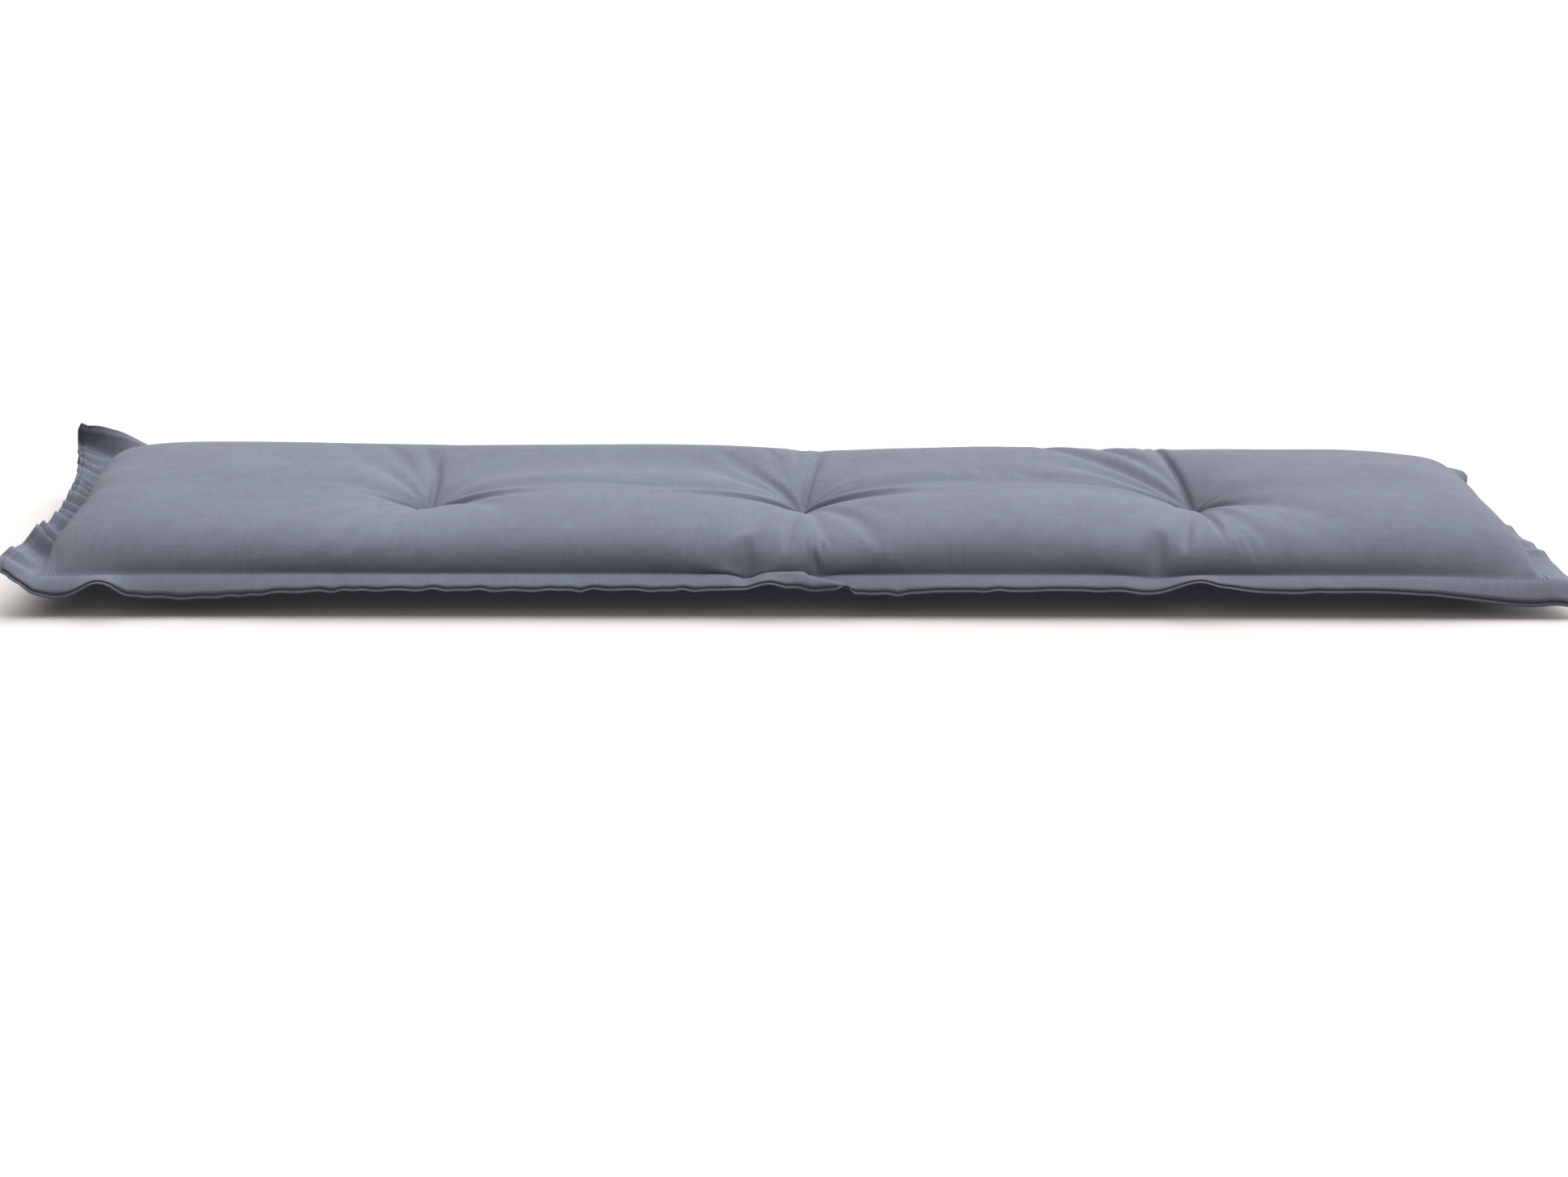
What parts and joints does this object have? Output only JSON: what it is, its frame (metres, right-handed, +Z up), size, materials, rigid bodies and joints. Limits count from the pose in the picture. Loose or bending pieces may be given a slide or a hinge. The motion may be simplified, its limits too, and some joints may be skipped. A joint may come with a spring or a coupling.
{
  "type": "bench cushion",
  "caption": "Long bench cushion lying flat: a filled pad of slate grey-blue woven cloth, with a flat flange all round and tufts along its middle.",
  "frame": {"origin": "on the surface the cushion lies on, under the middle of its outline", "axes": "+X along the cushion, +Y to its back edge, +Z up; -Y is the front edge"},
  "size_m": [1.5, 0.48, 0.0815],
  "materials": {
    "cover_cloth": "plain weave, matt, with a faint sheen at grazing angles",
    "tuft_twine": "twisted polyester twine, matt"
  },
  "bodies": {
    "root": {"cushion": "cover_cloth", "tuft_tie_left": "tuft_twine", "tuft_tie_middle": "tuft_twine", "tuft_tie_right": "tuft_twine"}
  },
  "joints": []
}
